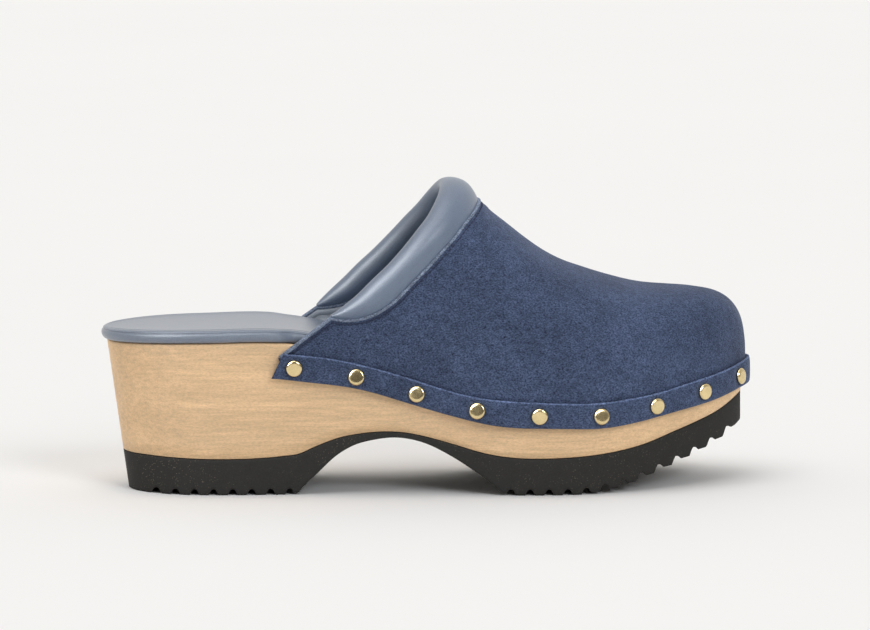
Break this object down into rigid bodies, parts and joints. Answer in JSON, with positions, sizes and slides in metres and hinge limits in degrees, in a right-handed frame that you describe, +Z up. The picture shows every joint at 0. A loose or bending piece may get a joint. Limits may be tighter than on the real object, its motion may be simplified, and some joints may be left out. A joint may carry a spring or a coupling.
{
  "type": "clog shoe",
  "caption": "Open-backed clog with a carved wooden platform sole, bar-tread rubber outsole, padded insole, suede upper, rolled leather collar and a nailed suede rand.",
  "frame": {"origin": "centre of the shoe's bounding box on the floor it stands on", "axes": "+X to the toe, +Y to the inner side of the foot, +Z up"},
  "size_m": [0.2614, 0.1032, 0.1225],
  "materials": {
    "sole_wood": "fine pale close-grained wood under a thin satin oil",
    "outsole_rubber": "matte moulded rubber",
    "insole_leather": "smooth semi-matte leather over thin padding",
    "upper_suede": "brushed suede with a mottled nap",
    "collar_leather": "smooth semi-matte leather over foam",
    "rand_suede": "brushed suede with a cut edge",
    "nail_brass": "polished, slightly aged"
  },
  "bodies": {
    "root": {"wood_sole": "sole_wood", "outsole": "outsole_rubber", "insole": "insole_leather", "upper": "upper_suede", "collar": "collar_leather", "rand": "rand_suede", "nail_01": "nail_brass", "nail_02": "nail_brass", "nail_03": "nail_brass", "nail_04": "nail_brass", "nail_05": "nail_brass", "nail_06": "nail_brass", "nail_07": "nail_brass", "nail_08": "nail_brass", "nail_09": "nail_brass", "nail_10": "nail_brass", "nail_11": "nail_brass", "nail_12": "nail_brass", "nail_13": "nail_brass", "nail_14": "nail_brass", "nail_15": "nail_brass", "nail_16": "nail_brass", "nail_17": "nail_brass", "nail_18": "nail_brass"}
  },
  "joints": []
}
